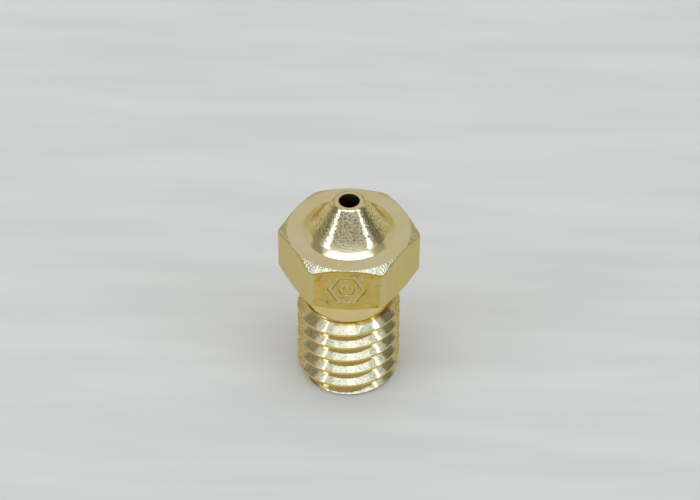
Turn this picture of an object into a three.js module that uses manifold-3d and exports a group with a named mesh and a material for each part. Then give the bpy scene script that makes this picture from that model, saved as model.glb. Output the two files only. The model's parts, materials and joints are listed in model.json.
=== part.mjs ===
// Brass nozzle for the hot end of a 3D printer, turned from hexagonal bar in one piece.
// Millimetres, +Z up. The origin is the centre of the threaded end's flat face, the axis is +Z
// and the tip points up. Two flats of the hexagon face -Y and +Y; the -Y flat carries the mark.
import * as THREE from 'three';
import { mergeVertices } from 'three/addons/utils/BufferGeometryUtils.js';
import Module from 'manifold-3d';

const wasm = await Module();
wasm.setup();

// Heights of the hexagon and of the tip above the threaded end.
const HEX_BOTTOM = 7.5;
const HEX_TOP = 10.4;
const TOTAL_LENGTH = 12.5;

// M6 x 1 thread, right-handed, with the crests a little under nominal size.
const PITCH = 1;
const CREST_RADIUS = 2.94;
const ROOT_RADIUS = 2.37;
const CREST_FLAT = 0.13;
const FLANK_ANGLE = radians(30);
const LEAD_RADIUS = 2.66;
const LEAD_HEIGHT = 0.35;

// Relief neck under the hexagon; a conical shoulder joins the thread's crests to it.
const NECK_RADIUS = 2.4;
const SHOULDER_BOTTOM = 5.08;
const SHOULDER_TOP = 5.5;

// The last groove runs into the neck and stops a little to the right of the marked flat.
const LAST_FLANK_HEIGHT = 4.98;
const GROOVE_END_ANGLE = radians(-58);

// Hexagon with slightly rounded corners, chamfered at both ends of them.
const HEX_ACROSS_FLATS = 7;
const HEX_CORNER_ROUNDING = 0.4;
const FACE_RADIUS = 3.47;
const TOP_CHAMFER_ANGLE = radians(30);
const BOTTOM_CHAMFER_ANGLE = radians(25);

// Conical tip with a flat land around the orifice. The lower part of the cone flares outwards
// along an arc, and a flatter conical foot joins its end to the hexagon's top.
const TIP_LAND_RADIUS = 0.86;
const CONE_SLOPE = radians(56);
const CONE_END_SLOPE = radians(46);
const CONE_END_RADIUS = 2.225;
const FOOT_RADIUS = 2.6;
const FOOT_SLOPE = radians(28);

// Filament passage: a drilled bore that narrows to the orifice.
const BORE_RADIUS = 1;
const ORIFICE_RADIUS = 0.6;
const ORIFICE_LENGTH = 1.2;
const DRILL_POINT_ANGLE = radians(59);
const BORE_LEAD = 0.15;

// Engraved mark: a hexagon around a ring, the nozzle as seen end-on.
const MARK_HEIGHT = 9.02;
const MARK_DEPTH = 0.05;
const MARK_STROKE = 0.26;
const MARK_ACROSS_FLATS = 1.9;
const MARK_RING_RADIUS = 0.45;

// Fineness of the facets.
const TURNED_FACETS = 60;
const FACETS_PER_TURN = 60;
const FLARE_FACETS = 4;
const CORNER_FACETS = 4;
const RING_FACETS = 30;

// How far a cutting shape reaches past the surface that it cuts.
const OVERCUT = 0.5;

function radians(degrees) {
  return THREE.MathUtils.degToRad(degrees);
}

// A manifold solid from the positions of a closed geometry.
function solidOf(geometry) {
  geometry.deleteAttribute('normal');
  geometry.deleteAttribute('uv');
  const merged = mergeVertices(geometry, 1e-5);
  return new wasm.Manifold(new wasm.Mesh({
    numProp: 3,
    vertProperties: new Float32Array(merged.attributes.position.array),
    triVerts: new Uint32Array(merged.index.array),
  }));
}

// A solid of revolution about Z from [radius, height] points that go up the outside.
function turned(profile) {
  const points = profile.map(([radius, height]) => new THREE.Vector2(radius, height));
  return solidOf(new THREE.LatheGeometry(points, TURNED_FACETS).rotateX(Math.PI / 2));
}

// The corners of a regular hexagon with flats facing up and down.
function hexagonPoints(acrossFlats) {
  const cornerRadius = acrossFlats / Math.sqrt(3);
  return Array.from({ length: 6 }, (_, corner) => new THREE.Vector2(
    cornerRadius * Math.cos(corner * Math.PI / 3),
    cornerRadius * Math.sin(corner * Math.PI / 3),
  ));
}

// The cone's flared part from its end up to the straight part, as [radius, height] points.
function flaredCone() {
  const { sin, cos, tan } = Math;
  const endHeight = HEX_TOP + (FOOT_RADIUS - CONE_END_RADIUS) * tan(FOOT_SLOPE);
  const straightEnd = TIP_LAND_RADIUS + (TOTAL_LENGTH - endHeight) / tan(CONE_SLOPE);
  const reachPerRadius = sin(CONE_SLOPE) - sin(CONE_END_SLOPE)
    - (cos(CONE_END_SLOPE) - cos(CONE_SLOPE)) / tan(CONE_SLOPE);
  const arcRadius = (CONE_END_RADIUS - straightEnd) / reachPerRadius;
  return Array.from({ length: FLARE_FACETS + 1 }, (_, step) => {
    const slope = CONE_END_SLOPE + (CONE_SLOPE - CONE_END_SLOPE) * step / FLARE_FACETS;
    return [
      CONE_END_RADIUS - arcRadius * (sin(slope) - sin(CONE_END_SLOPE)),
      endHeight + arcRadius * (cos(CONE_END_SLOPE) - cos(slope)),
    ];
  });
}

// Everything that the lathe leaves on the outside, before the thread and the flats are cut.
function turnedBlank() {
  const cornerRadius = HEX_ACROSS_FLATS / Math.sqrt(3) + OVERCUT;
  const chamferWidth = cornerRadius - FACE_RADIUS;
  return turned([
    [0, 0],
    [LEAD_RADIUS, 0],
    [CREST_RADIUS, LEAD_HEIGHT],
    [CREST_RADIUS, SHOULDER_BOTTOM],
    [NECK_RADIUS, SHOULDER_TOP],
    [NECK_RADIUS, HEX_BOTTOM],
    [FACE_RADIUS, HEX_BOTTOM],
    [cornerRadius, HEX_BOTTOM + chamferWidth * Math.tan(BOTTOM_CHAMFER_ANGLE)],
    [cornerRadius, HEX_TOP - chamferWidth * Math.tan(TOP_CHAMFER_ANGLE)],
    [FACE_RADIUS, HEX_TOP],
    [FOOT_RADIUS, HEX_TOP],
    ...flaredCone(),
    [TIP_LAND_RADIUS, TOTAL_LENGTH],
    [0, TOTAL_LENGTH],
  ]);
}

// The hexagonal bar, longer than the nozzle at both ends. An arc rounds each of its corners.
function hexagonalBar() {
  const toArcCentre = HEX_ACROSS_FLATS / Math.sqrt(3) - HEX_CORNER_ROUNDING / Math.cos(Math.PI / 6);
  const outline = new THREE.Shape();
  for (let corner = 0; corner < 6; corner += 1) {
    const angle = corner * Math.PI / 3;
    const x = toArcCentre * Math.cos(angle);
    const y = toArcCentre * Math.sin(angle);
    outline.absarc(x, y, HEX_CORNER_ROUNDING, angle - Math.PI / 6, angle + Math.PI / 6);
  }
  const bar = new THREE.ExtrudeGeometry(outline, {
    depth: TOTAL_LENGTH + 2 * OVERCUT,
    curveSegments: CORNER_FACETS,
    bevelEnabled: false,
  });
  return solidOf(bar.translate(0, 0, -OVERCUT));
}

// The helical groove between the thread's ridges: its section, extruded straight in steps and
// then wound about Z from the point where the groove ends down past the threaded end's face.
function threadGroove() {
  const depth = CREST_RADIUS - ROOT_RADIUS;
  const reach = CREST_RADIUS + CREST_FLAT / 2;
  const rootFlat = PITCH - CREST_FLAT - 2 * depth * Math.tan(FLANK_ANGLE);
  const flankRise = (reach - ROOT_RADIUS) * Math.tan(FLANK_ANGLE);
  const section = new THREE.Shape([
    new THREE.Vector2(ROOT_RADIUS, 0),
    new THREE.Vector2(reach, -flankRise),
    new THREE.Vector2(reach, rootFlat + flankRise),
    new THREE.Vector2(ROOT_RADIUS, rootFlat),
  ]);
  const frontAngle = -Math.PI / 2;
  const endHeight = LAST_FLANK_HEIGHT + depth * Math.tan(FLANK_ANGLE)
    + PITCH * (GROOVE_END_ANGLE - frontAngle) / (2 * Math.PI);
  const turns = Math.ceil(endHeight / PITCH + 1);
  const groove = new THREE.ExtrudeGeometry(section, {
    depth: 1,
    steps: turns * FACETS_PER_TURN,
    bevelEnabled: false,
  });
  const position = groove.attributes.position;
  for (let index = 0; index < position.count; index += 1) {
    const radius = position.getX(index);
    const turnsBack = position.getZ(index) * turns;
    const angle = GROOVE_END_ANGLE - turnsBack * 2 * Math.PI;
    const height = position.getY(index) + endHeight - turnsBack * PITCH;
    position.setXYZ(index, radius * Math.cos(angle), radius * Math.sin(angle), height);
  }
  return solidOf(groove);
}

// The passage for the filament, open at both ends.
function filamentPassage() {
  const orificeStart = TOTAL_LENGTH - ORIFICE_LENGTH;
  const boreEnd = orificeStart - (BORE_RADIUS - ORIFICE_RADIUS) / Math.tan(DRILL_POINT_ANGLE);
  return turned([
    [0, -OVERCUT],
    [BORE_RADIUS + BORE_LEAD + OVERCUT, -OVERCUT],
    [BORE_RADIUS, BORE_LEAD],
    [BORE_RADIUS, boreEnd],
    [ORIFICE_RADIUS, orificeStart],
    [ORIFICE_RADIUS, TOTAL_LENGTH + OVERCUT],
    [0, TOTAL_LENGTH + OVERCUT],
  ]);
}

// A band cut into the -Y flat between an outer outline and an inner one, drawn about its centre.
function engravedBand(outline, inner) {
  const shape = new THREE.Shape(outline);
  shape.holes.push(new THREE.Path(inner));
  const band = new THREE.ExtrudeGeometry(shape, { depth: MARK_DEPTH + OVERCUT, bevelEnabled: false });
  return solidOf(band.rotateX(Math.PI / 2).translate(0, MARK_DEPTH - HEX_ACROSS_FLATS / 2, MARK_HEIGHT));
}

function circlePoints(radius) {
  return new THREE.Path().absarc(0, 0, radius, 0, 2 * Math.PI).getPoints(RING_FACETS).slice(0, -1);
}

function engravedMark() {
  const hexagon = engravedBand(
    hexagonPoints(MARK_ACROSS_FLATS),
    hexagonPoints(MARK_ACROSS_FLATS - 2 * MARK_STROKE),
  );
  const ring = engravedBand(circlePoints(MARK_RING_RADIUS), circlePoints(MARK_RING_RADIUS - MARK_STROKE));
  return hexagon.add(ring);
}

// A three.js geometry from a manifold solid.
function geometryOf(solid) {
  const mesh = solid.getMesh();
  const geometry = new THREE.BufferGeometry();
  geometry.setAttribute('position', new THREE.BufferAttribute(mesh.vertProperties, 3));
  geometry.setIndex(new THREE.BufferAttribute(mesh.triVerts, 1));
  geometry.computeVertexNormals();
  return geometry;
}

const brass = new THREE.MeshStandardMaterial({ color: 0xcfb878, roughness: 0.28, metalness: 1 });

const nozzleSolid = turnedBlank()
  .intersect(hexagonalBar())
  .subtract(threadGroove())
  .subtract(filamentPassage())
  .subtract(engravedMark());

const nozzle = new THREE.Mesh(geometryOf(nozzleSolid), brass);
nozzle.name = 'nozzle';

const part = new THREE.Group();
part.name = 'printer_nozzle';
part.add(nozzle);

export default part;
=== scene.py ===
"""A brass nozzle for a 3D printer's hot end, with its fine surface and its machined brass, on a pale floor.

The CAD model gives the overall sizes and places. Shapes are drawn in millimetres, and scaled to metres
when they are finished. The nozzle's axis is +Z; the flat that faces -Y carries the engraved mark.
"""

import json
from cmath import exp as turned_by, phase
from math import atan, cos, hypot, pi, radians, sin, sqrt, tan

import bmesh
import bpy
from mathutils import Matrix, Vector


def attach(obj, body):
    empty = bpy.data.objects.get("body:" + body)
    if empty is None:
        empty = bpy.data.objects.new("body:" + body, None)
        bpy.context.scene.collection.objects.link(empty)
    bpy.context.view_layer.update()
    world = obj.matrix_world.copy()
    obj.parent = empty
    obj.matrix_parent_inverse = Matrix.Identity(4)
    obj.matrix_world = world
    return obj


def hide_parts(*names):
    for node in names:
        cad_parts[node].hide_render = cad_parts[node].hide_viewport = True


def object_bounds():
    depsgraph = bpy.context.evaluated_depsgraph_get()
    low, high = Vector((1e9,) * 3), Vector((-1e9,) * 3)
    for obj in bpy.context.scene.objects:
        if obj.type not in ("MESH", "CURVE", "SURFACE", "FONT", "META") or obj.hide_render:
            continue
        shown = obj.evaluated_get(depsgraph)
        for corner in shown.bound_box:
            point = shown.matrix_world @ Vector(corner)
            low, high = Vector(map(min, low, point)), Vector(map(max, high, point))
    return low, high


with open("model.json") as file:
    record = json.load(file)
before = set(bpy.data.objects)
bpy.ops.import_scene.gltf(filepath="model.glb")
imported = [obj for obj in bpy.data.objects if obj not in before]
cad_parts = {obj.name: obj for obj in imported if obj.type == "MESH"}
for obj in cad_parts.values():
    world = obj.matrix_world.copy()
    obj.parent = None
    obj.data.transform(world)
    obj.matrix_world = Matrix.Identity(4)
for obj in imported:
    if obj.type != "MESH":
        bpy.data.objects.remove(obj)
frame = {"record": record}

MM = 0.001

# ---------------------------------------------------------------------------------------------
# Sizes from the CAD model, in millimetres
# ---------------------------------------------------------------------------------------------

cad_low, cad_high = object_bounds()
MOUNT_HEIGHT = {mount["name"]: mount["pos_m"][2] / MM for mount in frame["record"]["mounts"]}

TOTAL_LENGTH = (cad_high.z - cad_low.z) / MM
ACROSS_FLATS = (cad_high.y - cad_low.y) / MM
HEX_TOP = MOUNT_HEIGHT["hex_top_face"]
# The threaded stub and the neck take up this share of the length, below the hexagon.
THREADED_SHARE = 0.6
HEX_BOTTOM = THREADED_SHARE * TOTAL_LENGTH

# ---------------------------------------------------------------------------------------------
# Details of the turned shape, in millimetres
# ---------------------------------------------------------------------------------------------

NECK_RADIUS = 2.4
NECK_ROUNDING = 0.12
SHOULDER_ROUNDING = 0.1
SHOULDER_BOTTOM = 5.08
SHOULDER_TOP = 5.5
LEAD_RADIUS = 2.66
LEAD_HEIGHT = 0.35

PITCH = 1.0
CREST_RADIUS = 2.94
ROOT_RADIUS = 2.37
CREST_FLAT = 0.13
FLANK_ANGLE = radians(32)
CREST_ROUNDING = 0.03
ROOT_ROUNDING = 0.06
FRONT_FLANK_HEIGHT = 4.98
GROOVE_END_ANGLE = radians(-58)

FACE_RADIUS = 3.47
TOP_CHAMFER = radians(30)
BOTTOM_CHAMFER = radians(25)
HEX_CORNER_ROUNDING = 0.4

CONE_SLOPE = radians(56)
CONE_END_SLOPE = radians(46)
CONE_END_RADIUS = 2.225
FOOT_RADIUS = 2.6
FOOT_SLOPE = radians(28)
CONE_ROUNDING = 0.15
CONE_END_HEIGHT = HEX_TOP + (FOOT_RADIUS - CONE_END_RADIUS) * tan(FOOT_SLOPE)
TIP_LAND_RADIUS = 0.86
TIP_ROUNDING = 0.3

BORE_RADIUS = 1.0
BORE_LEAD = 0.15
ORIFICE_RADIUS = 0.58
ORIFICE_LENGTH = 1.2
ORIFICE_START = TOTAL_LENGTH - ORIFICE_LENGTH
DRILL_POINT = radians(59)

MARK_HEIGHT = 9.02
MARK_DEPTH = 0.05
MARK_STROKE = 0.26
MARK_ACROSS_FLATS = 1.9
MARK_RING_RADIUS = 0.45

EDGE_BREAK = 0.03
FLAT_EDGE_BREAK = 0.12

FLAT_HALF_WIDTH = ACROSS_FLATS / sqrt(12)
CORNER_ARC_CENTRE = ACROSS_FLATS / sqrt(3) - HEX_CORNER_ROUNDING / cos(pi / 6)

# Straight steps that each rounding is drawn with.
EDGE_STEPS = 2
BAR_EDGE_STEPS = 3
FLAT_EDGE_STEPS = 6
NECK_STEPS = 4
SHOULDER_STEPS = 6
THREAD_STEPS = 3
FLARE_STEPS = 5
CONE_STEPS = 3
TIP_STEPS = 10
RING_SIDES = 48

# A rounding takes up at most this share of the sides it joins.
LONGEST_ROUNDING = 0.45
# Points nearer than this are one point, in millimetres.
WELD_DISTANCE = 1e-6
# Faces that meet at more than this angle are shaded with a sharp edge between them.
SHARP_ANGLE = radians(35)


# ---------------------------------------------------------------------------------------------
# Outlines. A point is a complex number: radius from the axis + height above the seat * 1j
# ---------------------------------------------------------------------------------------------

def rounded(before, corner, after, radius, steps):
    """The points of an arc that rounds one corner of an outline, and takes up less than half of a side."""
    way_in, way_out = corner - before, after - corner
    turn = phase(way_out / way_in)
    longest = LONGEST_ROUNDING * abs(way_in), LONGEST_ROUNDING * abs(way_out)
    reach = min(radius * tan(abs(turn) / 2), *longest)
    if reach == 0:
        return [corner]
    start = corner - way_in / abs(way_in) * reach
    spoke = -1j * way_in / abs(way_in) * reach / tan(turn / 2)
    return [start - spoke + spoke * turned_by(1j * turn * step / steps) for step in range(steps + 1)]


def closed_outline(corners):
    """Every corner of a closed outline rounded, from (point, radius, steps) for each."""
    points = []
    for index, (corner, radius, steps) in enumerate(corners):
        before = corners[index - 1][0]
        after = corners[(index + 1) % len(corners)][0]
        points += rounded(before, corner, after, radius, steps)
    return points


def hexagon_radius(angle):
    """Distance from the axis to the hexagonal bar's surface, whose six corners are slightly rounded."""
    from_corner = abs((angle + pi / 6) % (pi / 3) - pi / 6)
    if from_corner < corner_half_angle():
        across = CORNER_ARC_CENTRE * sin(from_corner)
        return CORNER_ARC_CENTRE * cos(from_corner) + sqrt(HEX_CORNER_ROUNDING ** 2 - across ** 2)
    return ACROSS_FLATS / 2 / cos(pi / 6 - from_corner)


def corner_half_angle():
    """Half of the angle about the axis that one rounded corner of the bar takes up."""
    return atan(HEX_CORNER_ROUNDING / 2 / (CORNER_ARC_CENTRE + HEX_CORNER_ROUNDING * cos(pi / 6)))


def flared_cone(steps):
    """The arc along which the cone's lower part flares outwards, from its end up to its straight part."""
    straight_end = TIP_LAND_RADIUS + (TOTAL_LENGTH - CONE_END_HEIGHT) / tan(CONE_SLOPE)
    narrowing = (cos(CONE_END_SLOPE) - cos(CONE_SLOPE)) / tan(CONE_SLOPE)
    radius = (CONE_END_RADIUS - straight_end) / (sin(CONE_SLOPE) - sin(CONE_END_SLOPE) - narrowing)
    centre = complex(CONE_END_RADIUS, CONE_END_HEIGHT) + radius * 1j * turned_by(-1j * CONE_END_SLOPE)
    slopes = [CONE_END_SLOPE + (CONE_SLOPE - CONE_END_SLOPE) * step / steps for step in range(steps + 1)]
    return [centre - radius * 1j * turned_by(-1j * slope) for slope in slopes]


def broken_edge(radius, height):
    """A corner of an outline where the edge has only been broken."""
    return complex(radius, height), EDGE_BREAK, EDGE_STEPS


def blank_outline(angle):
    """The nozzle's section at one angle about its axis, before the thread is cut, as a closed loop."""
    bar = hexagon_radius(angle)
    bore_end = ORIFICE_START - (BORE_RADIUS - ORIFICE_RADIUS) / tan(DRILL_POINT)
    return closed_outline([
        broken_edge(BORE_RADIUS + BORE_LEAD, 0),
        broken_edge(LEAD_RADIUS, 0),
        broken_edge(CREST_RADIUS, LEAD_HEIGHT),
        broken_edge(CREST_RADIUS, SHOULDER_BOTTOM),
        (complex(NECK_RADIUS, SHOULDER_TOP), SHOULDER_ROUNDING, SHOULDER_STEPS),
        (complex(NECK_RADIUS, HEX_BOTTOM), NECK_ROUNDING, NECK_STEPS),
        broken_edge(FACE_RADIUS, HEX_BOTTOM),
        (complex(bar, HEX_BOTTOM + (bar - FACE_RADIUS) * tan(BOTTOM_CHAMFER)), EDGE_BREAK, BAR_EDGE_STEPS),
        (complex(bar, HEX_TOP - (bar - FACE_RADIUS) * tan(TOP_CHAMFER)), FLAT_EDGE_BREAK, FLAT_EDGE_STEPS),
        broken_edge(FACE_RADIUS, HEX_TOP),
        broken_edge(FOOT_RADIUS, HEX_TOP),
        *[(point, CONE_ROUNDING, CONE_STEPS) for point in flared_cone(FLARE_STEPS)],
        (complex(TIP_LAND_RADIUS, TOTAL_LENGTH), TIP_ROUNDING, TIP_STEPS),
        (complex(ORIFICE_RADIUS, TOTAL_LENGTH), EDGE_BREAK / 2, EDGE_STEPS),
        broken_edge(ORIFICE_RADIUS, ORIFICE_START),
        broken_edge(BORE_RADIUS, bore_end),
        broken_edge(BORE_RADIUS, BORE_LEAD),
    ])


def groove_outline():
    """The section of the thread's groove about its root's middle, wide enough to round the crests."""
    half_root = (PITCH - CREST_FLAT) / 2 - (CREST_RADIUS - ROOT_RADIUS) * tan(FLANK_ANGLE)
    half_mouth = (PITCH - CREST_FLAT) / 2
    mouth_end = half_mouth + CREST_FLAT / 3
    outside = CREST_RADIUS + CREST_FLAT
    upper = [complex(outside, mouth_end)]
    upper += rounded(
        complex(CREST_RADIUS, mouth_end + CREST_FLAT),
        complex(CREST_RADIUS, half_mouth),
        complex(ROOT_RADIUS, half_root),
        CREST_ROUNDING, THREAD_STEPS,
    )
    upper += rounded(
        complex(CREST_RADIUS, half_mouth),
        complex(ROOT_RADIUS, half_root),
        complex(ROOT_RADIUS, -half_root),
        ROOT_ROUNDING, THREAD_STEPS,
    )
    return upper + [point.conjugate() for point in reversed(upper)]


# ---------------------------------------------------------------------------------------------
# Meshes from outlines
# ---------------------------------------------------------------------------------------------

def mesh_object(name, vertices, faces):
    """A new object whose faces all point outwards."""
    mesh = bpy.data.meshes.new(name)
    mesh.from_pydata(vertices, [], faces)
    shape = bmesh.new()
    shape.from_mesh(mesh)
    bmesh.ops.remove_doubles(shape, verts=shape.verts, dist=WELD_DISTANCE)
    bmesh.ops.recalc_face_normals(shape, faces=shape.faces)
    shape.to_mesh(mesh)
    shape.free()
    thing = bpy.data.objects.new(name, mesh)
    bpy.context.scene.collection.objects.link(thing)
    return thing


def grid_faces(rings, points, joined):
    """Quads between neighbouring rings of points; joined closes the last ring onto the first."""
    faces = []
    for ring in range(rings if joined else rings - 1):
        here, there = ring * points, (ring + 1) % rings * points
        for point in range(points):
            following = (point + 1) % points
            faces.append((here + point, here + following, there + following, there + point))
    return faces


def column_angles(between_corners=36, in_half_corner=4):
    """Angles about the axis for the blank's sections, close together at the bar's six corners."""
    half = corner_half_angle()
    sector = [half * step / in_half_corner for step in range(in_half_corner)]
    sector += [half + (pi / 3 - 2 * half) * step / between_corners for step in range(between_corners)]
    sector += [pi / 3 - half * (in_half_corner - step) / in_half_corner for step in range(in_half_corner)]
    return [corner * pi / 3 + angle for corner in range(6) for angle in sector]


def blank():
    """The turned and chamfered bar with its bore, before the thread and the mark are cut."""
    angles = column_angles()
    vertices = []
    for angle in angles:
        outline = blank_outline(angle)
        vertices += [(p.real * cos(angle), p.real * sin(angle), p.imag) for p in outline]
    return mesh_object("blank", vertices, grid_faces(len(angles), len(outline), joined=True))


def thread_groove(steps_per_turn=200, lift_turns=0.06):
    """The path of the threading tool: its section swept down a right-handed helix from the run-out."""
    outline = groove_outline()
    front_angle = -pi / 2
    top = FRONT_FLANK_HEIGHT + (PITCH - CREST_FLAT) / 2 + PITCH * (GROOVE_END_ANGLE - front_angle) / (2 * pi)
    steps = round((top / PITCH + 1) * steps_per_turn)
    vertices = []
    for step in range(steps + 1):
        turns = step / steps_per_turn
        angle = GROOVE_END_ANGLE - 2 * pi * turns
        lift = (CREST_RADIUS - ROOT_RADIUS) * max(0, 1 - turns / lift_turns)
        for point in outline:
            radius = point.real + lift
            vertices.append((radius * cos(angle), radius * sin(angle), top - PITCH * turns + point.imag))
    faces = grid_faces(steps + 1, len(outline), joined=False)
    faces += [list(range(len(outline))), list(range(steps * len(outline), len(vertices)))]
    return mesh_object("groove", vertices, faces)


def mark_band(name, outer, inner, sides):
    """A shallow closed band to cut into the -Y flat, between two regular outlines, with sloping walls."""
    surface = -ACROSS_FLATS / 2
    outline = [
        (outer - MARK_DEPTH / 2, surface + MARK_DEPTH),
        (outer + MARK_DEPTH / 2, surface - MARK_DEPTH),
        (inner - MARK_DEPTH / 2, surface - MARK_DEPTH),
        (inner + MARK_DEPTH / 2, surface + MARK_DEPTH),
    ]
    vertices = []
    for side in range(sides):
        angle = 2 * pi * side / sides
        vertices += [(r * cos(angle), y, MARK_HEIGHT + r * sin(angle)) for r, y in outline]
    return mesh_object(name, vertices, grid_faces(sides, len(outline), joined=True))


def cut(target, tool):
    """Cuts target with tool, and removes tool."""
    modifier = target.modifiers.new("cut", "BOOLEAN")
    modifier.operation = "DIFFERENCE"
    modifier.solver = "MANIFOLD"
    modifier.object = tool
    evaluated = target.evaluated_get(bpy.context.evaluated_depsgraph_get())
    target.data = bpy.data.meshes.new_from_object(evaluated)
    target.modifiers.clear()
    bpy.data.objects.remove(tool)


def nozzle_shape():
    """The whole nozzle as one closed mesh, still in millimetres."""
    nozzle = blank()
    mark_radius = MARK_ACROSS_FLATS / sqrt(3)
    hexagon_stroke = MARK_STROKE / cos(pi / 6)
    cut(nozzle, thread_groove())
    cut(nozzle, mark_band("mark_hexagon", mark_radius, mark_radius - hexagon_stroke, 6))
    cut(nozzle, mark_band("mark_ring", MARK_RING_RADIUS, MARK_RING_RADIUS - MARK_STROKE, RING_SIDES))
    nozzle.name = nozzle.data.name = "nozzle_body"
    return nozzle


# ---------------------------------------------------------------------------------------------
# Shader nodes
# ---------------------------------------------------------------------------------------------

def add_node(tree, kind, inputs=None, **settings):
    """A new node. Each input is a value or another node's output socket."""
    node = tree.nodes.new(kind)
    for name, setting in settings.items():
        setattr(node, name, setting)
    for key, value in (inputs or {}).items():
        if isinstance(value, bpy.types.NodeSocket):
            tree.links.new(value, node.inputs[key])
        else:
            node.inputs[key].default_value = value
    return node


def calculated(tree, operation, *values):
    """The result of a maths node."""
    return add_node(tree, "ShaderNodeMath", dict(enumerate(values)), operation=operation).outputs[0]


def faded(tree, value, low, high):
    """0 where value is low, 1 where it is high, with a smooth change between."""
    inputs = {"Value": value, "From Min": low, "From Max": high}
    return add_node(tree, "ShaderNodeMapRange", inputs, interpolation_type="SMOOTHSTEP").outputs[0]


def mixed(tree, share, first, second):
    """A colour between two others."""
    inputs = {"Factor": share, 6: first, 7: second}
    return add_node(tree, "ShaderNodeMix", inputs, data_type="RGBA").outputs[2]


def noise(tree, place, scale, detail=2.0, roughness=0.5):
    """Fractal noise from 0 to 1, with scale features per unit of place."""
    inputs = {"Vector": place, "Scale": scale, "Detail": detail, "Roughness": roughness}
    return add_node(tree, "ShaderNodeTexNoise", inputs).outputs["Fac"]


def place_mm(tree, stretch=(1, 1, 1)):
    """The point being shaded, in the nozzle's frame and in millimetres, with each axis scaled."""
    place = add_node(tree, "ShaderNodeTexCoord").outputs["Object"]
    inputs = {0: place, 1: tuple(factor / MM for factor in stretch)}
    return add_node(tree, "ShaderNodeVectorMath", inputs, operation="MULTIPLY").outputs[0]


def from_axis(tree):
    """(distance from the axis, height above the seat) of the point being shaded, in millimetres."""
    parts = add_node(tree, "ShaderNodeSeparateXYZ", {0: place_mm(tree)}).outputs
    radius = calculated(tree, "SQRT", calculated(
        tree, "ADD", calculated(tree, "POWER", parts[0], 2), calculated(tree, "POWER", parts[1], 2),
    ))
    return radius, parts[2]


def edge_share(tree, width, samples=6):
    """How much the surface turns within width millimetres of a point, from 0 to 1."""
    blurred = add_node(tree, "ShaderNodeBevel", {"Radius": width * MM}, samples=samples).outputs[0]
    normal = add_node(tree, "ShaderNodeNewGeometry").outputs["Normal"]
    alike = add_node(tree, "ShaderNodeVectorMath", {0: blurred, 1: normal}, operation="DOT_PRODUCT")
    return faded(tree, alike.outputs["Value"], low=0.99, high=0.85)


# ---------------------------------------------------------------------------------------------
# Brass finishes
# ---------------------------------------------------------------------------------------------

CUT_BRASS = (0.86, 0.71, 0.36, 1)
BRIGHT_BRASS = (0.88, 0.77, 0.46, 1)
SILVERY_BRASS = (0.62, 0.58, 0.36, 1)
WARM_BRASS = (0.86, 0.67, 0.29, 1)
# Painted shade: a darker, more orange brass for the shade in the thread's roots.
SHADED_ROOT_BRASS = (0.84, 0.64, 0.32, 1)
DRAWN_BRASS = (0.71, 0.61, 0.28, 1)
DRAWN_BRASS_PINK = (0.75, 0.58, 0.31, 1)
STAINED_BRASS = (0.70, 0.48, 0.11, 1)
# A stain colour, also used for painted shade along the hexagon's upper edges.
STAIN_AND_EDGE_SHADE = (0.50, 0.32, 0.06, 1)
ENGRAVED_BRASS = (0.62, 0.55, 0.23, 1)
EDGE_BRASS = (0.48, 0.31, 0.04, 1)
# Painted reflection: a golden colour for what the thread's crest flats reflect.
CREST_REFLECTION_BRASS = (0.86, 0.60, 0.12, 1)
FLANK_BRASS = (0.82, 0.71, 0.42, 1)
# Painted shade: the dark crescent under the neck and the contact shadow at the seat.
PAINTED_SHADE = (0.50, 0.30, 0.04, 1)
SPECKLE = (0.27, 0.23, 0.11, 1)
GRAZING_TINT = (0.95, 0.88, 0.60, 1)
# Painted shade: the bore's colours stand in for the shade inside the hole.
DARK_BRASS = (0.14, 0.11, 0.05, 1)
BORE_SHADE = (0.05, 0.04, 0.02, 1)

# Where colours and ripples fade in: from the first distance to the second, in millimetres.
CHATTER_FADE = (-0.05, 0.05)
CONE_SPECKLE_FADE = (0, 0.6)
# The painted shade in the thread's roots fades in over these distances out from the root.
ROOT_SHADE_FADE = (0.3, 0.1)
CREST_FADE = (0.04, 0.01)
# The painted shade under the neck fades in over these distances below the top of the shoulder.
NECK_SHADE_FADE = (0.3, 0.1)
# The painted contact shadow fades out over these heights above the seat.
CONTACT_SHADOW_FADE = (0.1, 0.04)
# The painted shade under the top edge of the marked flat fades in over these distances below the top.
EDGE_SHADE_FADE = (0.15, 0.05)
STAIN_HALF_WIDTH = 1.7

# Painted shade along edges and creases reaches this far, in millimetres.
EDGE_SHADE_WIDTH = 0.08


def turning_lines(tree, pitch, depth):
    """The height of a lathe tool's fine lines, in millimetres, on faces, cones and cylinders alike."""
    radius, height = from_axis(tree)
    along = calculated(tree, "MULTIPLY_ADD", height, 2.0, radius)
    waver = calculated(tree, "MULTIPLY", noise(tree, place_mm(tree), scale=0.7), 2 * pitch)
    line = add_node(tree, "ShaderNodeTexNoise", {
        "W": calculated(tree, "ADD", along, waver), "Scale": 1 / pitch, "Detail": 1.0,
    }, noise_dimensions="1D").outputs[0]
    return calculated(tree, "MULTIPLY", line, depth)


def chatter(tree, depth, around=3.5, along=10.5):
    """The height of the short ripples where the tool shook; around and along are ripples per millimetre."""
    ripple = noise(tree, place_mm(tree, (around, around, along)), scale=1, detail=2.5, roughness=0.55)
    return calculated(tree, "MULTIPLY", calculated(tree, "SUBTRACT", ripple, 0.5), depth)


def cone_chatter(tree):
    """Ripples that stop at the cone's smooth foot."""
    height = from_axis(tree)[1]
    low, high = CHATTER_FADE
    on_cone = faded(tree, height, CONE_END_HEIGHT + low, CONE_END_HEIGHT + high)
    return calculated(tree, "MULTIPLY", chatter(tree, depth=0.018), on_cone)


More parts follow.
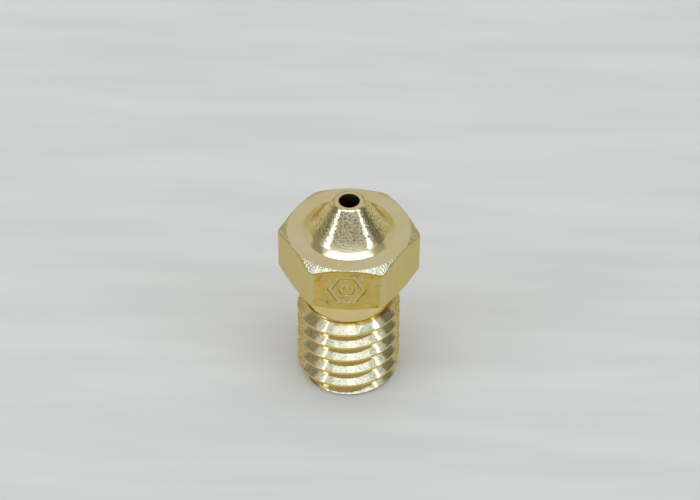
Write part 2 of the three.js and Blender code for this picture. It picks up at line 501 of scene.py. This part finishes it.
def grain(tree, depth):
    """The height of the fine lengthways grain and the small pits of drawn bar."""
    drawn = noise(tree, place_mm(tree, (1, 1, 0.15)), scale=14, detail=2.0)
    pitted = faded(tree, noise(tree, place_mm(tree), scale=5, detail=3.0), low=0.36, high=0.28)
    return calculated(tree, "MULTIPLY", calculated(tree, "SUBTRACT", drawn, pitted), depth)


def patches(tree, size):
    """Irregular patches about size millimetres across, as a share from 0 to 1."""
    patchy = noise(tree, place_mm(tree), scale=1 / size, detail=5.0, roughness=0.6)
    return faded(tree, patchy, low=0.38, high=0.68)


def speckles(tree):
    """Speckles about a seventh of a millimetre wide and half as tall, as a share from 0 to 1."""
    speckled = noise(tree, place_mm(tree, (1, 1, 1.8)), scale=7, detail=3.0, roughness=0.6)
    return faded(tree, speckled, low=0.54, high=0.38)


def finish(name, colour, roughness, height, edge=EDGE_BRASS):
    """A brass material. colour(tree) gives its colour and height(tree) its fine surface, in millimetres."""
    material = bpy.data.materials.new(name)
    material.use_nodes = True
    tree = material.node_tree
    shader = tree.nodes["Principled BSDF"]
    # Painted shade: near edges and creases the colour turns to the edge colour, darker brass on most
    # finishes.
    edge_shaded = mixed(tree, edge_share(tree, EDGE_SHADE_WIDTH), colour(tree), edge)
    smudged = noise(tree, place_mm(tree), scale=2.3, detail=5.0, roughness=0.6)
    smudge = faded(tree, smudged, low=0.3, high=0.75)
    rough = calculated(tree, "MULTIPLY_ADD", smudge, roughness * 0.7, roughness * 0.65)
    bump = add_node(tree, "ShaderNodeBump", {"Distance": MM, "Height": height(tree)})
    for key, socket in {"Base Color": edge_shaded, "Roughness": rough, "Normal": bump.outputs[0]}.items():
        tree.links.new(socket, shader.inputs[key])
    shader.inputs["Metallic"].default_value = 1
    shader.inputs["Specular Tint"].default_value = GRAZING_TINT
    return material


def faced_brass():
    """The turned end faces."""
    def colour(tree):
        return mixed(tree, patches(tree, size=3), CUT_BRASS, BRIGHT_BRASS)

    def height(tree):
        return turning_lines(tree, pitch=0.05, depth=0.0006)

    return finish("faced_brass", colour, roughness=0.16, height=height)


def neck_brass():
    """The turned neck and the hexagon's lower chamfers, a little tarnished."""
    def colour(tree):
        return mixed(tree, patches(tree, size=1.5), WARM_BRASS, CUT_BRASS)

    def height(tree):
        return turning_lines(tree, pitch=0.1, depth=0.001)

    return finish("neck_brass", colour, roughness=0.16, height=height)


def cone_brass():
    """The cone, bright, speckled and covered with chatter down to its smooth foot."""
    def colour(tree):
        clear = mixed(tree, patches(tree, size=1), CUT_BRASS, BRIGHT_BRASS)
        low, high = CONE_SPECKLE_FADE
        on_cone = faded(tree, from_axis(tree)[1], CONE_END_HEIGHT + low, CONE_END_HEIGHT + high)
        share = calculated(tree, "MULTIPLY", speckles(tree), calculated(tree, "MULTIPLY", on_cone, 0.85))
        return mixed(tree, share, clear, SPECKLE)

    return finish("cone_brass", colour, roughness=0.09, height=cone_chatter)


def chamfer_brass():
    """The hexagon's upper chamfers, rippled like the cone."""
    def colour(tree):
        return mixed(tree, patches(tree, size=0.3), SILVERY_BRASS, BRIGHT_BRASS)

    def height(tree):
        return chatter(tree, depth=0.05, around=8.5, along=11.5)

    return finish("chamfer_brass", colour, roughness=0.14, height=height)


def thread_brass():
    """The thread: speckled flanks, crests in a painted golden reflection, painted shade in the roots and by
    the neck, and a painted contact shadow at the base.
    """
    def colour(tree):
        radius, height = from_axis(tree)
        speckled = mixed(tree, calculated(tree, "MULTIPLY", speckles(tree), 0.5), FLANK_BRASS, SPECKLE)
        # Painted shade in the thread's roots, darker still just under the neck.
        near_root = faded(tree, radius, *[ROOT_RADIUS + outwards for outwards in ROOT_SHADE_FADE])
        on_crest = faded(tree, radius, *[CREST_RADIUS - inwards for inwards in CREST_FADE])
        # Painted shade: the dark crescent just under the neck.
        near_neck = faded(tree, height, *[SHOULDER_TOP - down for down in NECK_SHADE_FADE])
        root_and_neck_shade = mixed(tree, near_neck, SHADED_ROOT_BRASS, PAINTED_SHADE)
        # Painted reflection: the crest flats take a golden colour for what they reflect.
        crest_reflection_share = calculated(tree, "MULTIPLY", on_crest, 0.6)
        turned = mixed(tree, crest_reflection_share, mixed(tree, near_root, speckled, root_and_neck_shade), CREST_REFLECTION_BRASS)
        # Painted contact shadow: the lowest tenth of a millimetre darkens to the painted shade colour.
        return mixed(tree, faded(tree, height, *CONTACT_SHADOW_FADE), turned, PAINTED_SHADE)

    def height(tree):
        lines = turning_lines(tree, pitch=0.12, depth=0.0006)
        return calculated(tree, "ADD", lines, chatter(tree, depth=0.003))

    return finish("thread_brass", colour, roughness=0.09, height=height, edge=FLANK_BRASS)


def drawn_brass():
    """The flats of the drawn bar."""
    def colour(tree):
        return mixed(tree, patches(tree, size=2.5), DRAWN_BRASS, DRAWN_BRASS_PINK)

    def height(tree):
        return grain(tree, depth=0.001)

    return finish("drawn_brass", colour, roughness=0.2, height=height)


def marked_brass():
    """The flat with the mark, stained orange with darker spots and with painted shade in a band under its
    top edge; the stain and the band fade towards its corners.
    """
    def colour(tree):
        bare = calculated(tree, "MULTIPLY", patches(tree, size=0.6), 0.5)
        stained = mixed(tree, bare, STAINED_BRASS, DRAWN_BRASS)
        spotty = noise(tree, place_mm(tree), scale=3.0, detail=3.0, roughness=0.7)
        spots = faded(tree, spotty, low=0.55, high=0.66)
        sideways, _, height = add_node(tree, "ShaderNodeSeparateXYZ", {0: place_mm(tree)}).outputs
        # Painted shade: a band just under the top edge darkens to the stain colour, for the dark line the
        # rounded edge reflects; the spots are real stains.
        under_edge_shade = faded(tree, height, *[HEX_TOP - down for down in EDGE_SHADE_FADE])
        spotted_and_edge_shaded = mixed(tree, calculated(tree, "MAXIMUM", spots, under_edge_shade), stained, STAIN_AND_EDGE_SHADE)
        at_corner = faded(tree, calculated(tree, "ABSOLUTE", sideways), STAIN_HALF_WIDTH, FLAT_HALF_WIDTH)
        return mixed(tree, at_corner, spotted_and_edge_shaded, DRAWN_BRASS)

    def height(tree):
        return grain(tree, depth=0.002)

    return finish("marked_brass", colour, roughness=0.2, height=height)


def edge_brass():
    """The rounded upper edges of the hexagon's flats, dark and patchy: painted shade for the dark line these
    edges reflect.
    """
    def colour(tree):
        return mixed(tree, patches(tree, size=0.5), EDGE_BRASS, STAIN_AND_EDGE_SHADE)

    def height(tree):
        return chatter(tree, depth=0.01)

    return finish("edge_brass", colour, roughness=0.25, height=height)


def engraved_brass():
    """The floor and walls of the engraved mark."""
    def colour(tree):
        return mixed(tree, patches(tree, size=0.4), ENGRAVED_BRASS, DRAWN_BRASS)

    def height(tree):
        return chatter(tree, depth=0.01)

    return finish("engraved_brass", colour, roughness=0.3, height=height)


def bore_brass():
    """The drilled bore, coloured dark: painted shade inside the hole."""
    def colour(tree):
        return mixed(tree, patches(tree, size=0.5), DARK_BRASS, BORE_SHADE)

    def height(tree):
        return turning_lines(tree, pitch=0.1, depth=0.004)

    return finish("bore_brass", colour, roughness=0.5, height=height)


FINISHES = {
    "faced": faced_brass,
    "neck": neck_brass,
    "cone": cone_brass,
    "chamfer": chamfer_brass,
    "thread": thread_brass,
    "drawn": drawn_brass,
    "marked": marked_brass,
    "edge": edge_brass,
    "engraved": engraved_brass,
    "bore": bore_brass,
}


def in_mark(centre):
    """Whether a point is inside the engraved mark, below the surface of the -Y flat."""
    depth = centre.y + ACROSS_FLATS / 2
    from_middle = hypot(centre.x, centre.z - MARK_HEIGHT)
    return EDGE_BREAK / 4 < depth < 2 * MARK_DEPTH and from_middle < MARK_ACROSS_FLATS / sqrt(3) + MARK_DEPTH


# How far a face's normal leans one way: enough to count as facing it, and as a chamfer or an edge.
FACING = 0.2
CHAMFER_LEAN = 0.5
EDGE_LEAN = 0.05


def finish_at(centre, normal):
    """The name of the finish of a face, from its centre in millimetres and the way it faces."""
    radius = hypot(centre.x, centre.y)
    outwards = (centre.x * normal.x + centre.y * normal.y) / radius
    if radius < BORE_RADIUS + BORE_LEAD and outwards < -FACING:
        return "bore"
    if abs(normal.z) > cos(FOOT_SLOPE / 2):
        return "faced"
    if centre.z < SHOULDER_TOP + SHOULDER_ROUNDING:
        return "thread"
    if centre.z < HEX_BOTTOM or normal.z < -FACING:
        return "neck"
    if centre.z > HEX_TOP:
        return "cone"
    if in_mark(centre):
        return "engraved"
    if normal.z > CHAMFER_LEAN:
        return "chamfer"
    if normal.z > EDGE_LEAN:
        return "edge"
    return "marked" if normal.y < -cos(pi / 6) else "drawn"


def apply_finishes(mesh):
    """Gives every face the material of its finish."""
    names = list(FINISHES)
    mesh.materials.clear()
    for make in FINISHES.values():
        mesh.materials.append(make())
    for face in mesh.polygons:
        face.material_index = names.index(finish_at(face.center, face.normal))


# ---------------------------------------------------------------------------------------------
# The nozzle
# ---------------------------------------------------------------------------------------------

nozzle = nozzle_shape()
apply_finishes(nozzle.data)
nozzle.data.shade_smooth()
nozzle.data.set_sharp_from_angle(angle=SHARP_ANGLE)
flat_faces_shade_flat = nozzle.modifiers.new("flat_faces_shade_flat", "WEIGHTED_NORMAL")
flat_faces_shade_flat.keep_sharp = True
nozzle.data.transform(Matrix.Scale(MM, 4))
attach(nozzle, "root")
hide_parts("nozzle")


# ---------------------------------------------------------------------------------------------
# Floor and light
# ---------------------------------------------------------------------------------------------

FLOOR_SIZE = 4
FLOOR_ROUGHNESS = 0.8
FLOOR_TONE = (0.755, 0.705, 0.57, 1)
FLOOR_PALER_TONE = (0.81, 0.76, 0.605, 1)


def add_floor():
    """A pale matt floor, faintly uneven in tone."""
    bpy.ops.mesh.primitive_plane_add(size=FLOOR_SIZE)
    floor = bpy.context.object
    floor.name = "floor"
    material = bpy.data.materials.new("floor")
    material.use_nodes = True
    tree = material.node_tree
    shader = tree.nodes["Principled BSDF"]
    uneven = noise(tree, place_mm(tree, (0.05, 0.4, 1)), scale=1, detail=3.0)
    tone = mixed(tree, faded(tree, uneven, low=0.3, high=0.7), FLOOR_TONE, FLOOR_PALER_TONE)
    tree.links.new(tone, shader.inputs["Base Color"])
    shader.inputs["Roughness"].default_value = FLOOR_ROUGHNESS
    floor.data.materials.append(material)


LAMP_DISTANCE = 0.5
LAMP_COLOUR = (0.82, 0.95, 1.35)


def direction(azimuth, elevation):
    """The way from the nozzle to a point in the studio; azimuth 0 is the camera's side, right positive."""
    a, e = radians(azimuth), radians(elevation)
    return Vector((sin(a) * cos(e), -cos(a) * cos(e), sin(e)))


def area_light(name, first, last, width, radiance):
    """A lamp half a metre off, as long as the gap between two ways, and hidden from the camera."""
    middle, along = (first + last) / 2, last - first
    data = bpy.data.lights.new(name, "AREA")
    data.shape = "RECTANGLE"
    data.size, data.size_y = along.length * LAMP_DISTANCE, width
    data.energy = radiance * pi * data.size * data.size_y
    data.color = LAMP_COLOUR
    light = bpy.data.objects.new(name, data)
    light.location = middle * LAMP_DISTANCE + Vector((0, 0, HEX_TOP * MM))
    axes = along.normalized(), middle.cross(along).normalized(), middle.normalized()
    light.rotation_euler = Matrix(axes).transposed().to_euler()
    light.visible_camera = False
    bpy.context.scene.collection.objects.link(light)


BACK_LOW = (0.48, 0.44, 0.29, 1)
BACK_HIGH = (0.57, 0.58, 0.60, 1)
FRONT_LOW = (0.50, 0.53, 0.66, 1)
FRONT_HIGH = (0.78, 0.92, 1.18, 1)
DARK_LEFT = (0.30, 0.30, 0.27, 1)
DARK_RIGHT_LOW = (0.20, 0.21, 0.19, 1)
DARK_RIGHT_HIGH = (0.42, 0.43, 0.40, 1)
BACKDROP = (0.57, 0.58, 0.55, 1)


def studio_world():
    """A soft surround: warm behind, bluish and brighter higher up in front, and dark to both sides.

    The camera itself sees a plain grey backdrop.
    """
    world = bpy.data.worlds.new("studio")
    world.use_nodes = True
    tree = world.node_tree
    way = add_node(tree, "ShaderNodeTexCoord").outputs["Generated"]
    across, depth, up = add_node(tree, "ShaderNodeSeparateXYZ", {0: way}).outputs
    back = mixed(tree, faded(tree, up, low=0.2, high=0.65), BACK_LOW, BACK_HIGH)
    front = mixed(tree, faded(tree, up, low=0.5, high=0.75), FRONT_LOW, FRONT_HIGH)
    around = mixed(tree, faded(tree, depth, low=-0.4, high=0.3), front, back)
    leaning = calculated(tree, "MULTIPLY_ADD", up, -0.25, depth)
    from_side = calculated(tree, "ARCTAN2", leaning, calculated(tree, "ABSOLUTE", across))
    from_middle = calculated(tree, "ABSOLUTE", calculated(tree, "SUBTRACT", from_side, radians(1)))
    dark_right = mixed(tree, faded(tree, up, low=0.6, high=0.9), DARK_RIGHT_LOW, DARK_RIGHT_HIGH)
    dark = mixed(tree, faded(tree, across, low=-0.5, high=0.5), DARK_LEFT, dark_right)
    at_side = faded(tree, from_middle, low=radians(20), high=radians(10))
    unseen = mixed(tree, at_side, around, dark)
    seen = add_node(tree, "ShaderNodeLightPath").outputs["Is Camera Ray"]
    tree.links.new(mixed(tree, seen, unseen, BACKDROP), tree.nodes["Background"].inputs["Color"])
    bpy.context.scene.world = world


def add_lights():
    """A softbox overhead, brighter in its middle and at its top, and a tall tube at each side."""
    area_light("overhead", direction(0, 54), direction(0, 100), width=0.47, radiance=0.4)
    area_light("overhead_middle", direction(0, 57), direction(0, 69), width=0.10, radiance=0.4)
    area_light("overhead_top", direction(0, 77), direction(0, 98), width=0.42, radiance=1.4)
    area_light("tube_left", direction(-58, 10), direction(-66, 42), width=0.11, radiance=2.2)
    area_light("tube_left_top", direction(-68, 42), direction(-73, 57), width=0.02, radiance=2.0)
    area_light("tube_right", direction(61, 10), direction(68, 42), width=0.075, radiance=2.2)
    area_light("tube_right_top", direction(70, 42), direction(76, 57), width=0.03, radiance=2.5)


add_floor()
studio_world()
add_lights()
bpy.context.scene.view_settings.view_transform = "Standard"


# ---------------------------------------------------------------------------------------------
# Camera
# ---------------------------------------------------------------------------------------------

CAMERA_AZIMUTH = 1.79
CAMERA_ELEVATION = 42.03
CAMERA_ROLL = radians(-0.324)
CAMERA_DISTANCE = 0.15
CAMERA_TARGET = Vector((0.062, 0, 8.827)) * MM
LENS = 137.2
SENSOR_WIDTH = 36


def add_camera():
    """A long lens that looks down at the marked flat."""
    data = bpy.data.cameras.new("camera")
    data.lens = LENS
    data.sensor_width = SENSOR_WIDTH
    data.clip_start = MM
    camera = bpy.data.objects.new("camera", data)
    back = direction(CAMERA_AZIMUTH, CAMERA_ELEVATION)
    upright = back.to_track_quat("Z", "Y")
    camera.location = CAMERA_TARGET + back * CAMERA_DISTANCE
    camera.rotation_mode = "QUATERNION"
    camera.rotation_quaternion = upright @ Matrix.Rotation(-CAMERA_ROLL, 3, "Z").to_quaternion()
    bpy.context.scene.collection.objects.link(camera)
    bpy.context.scene.camera = camera


add_camera()
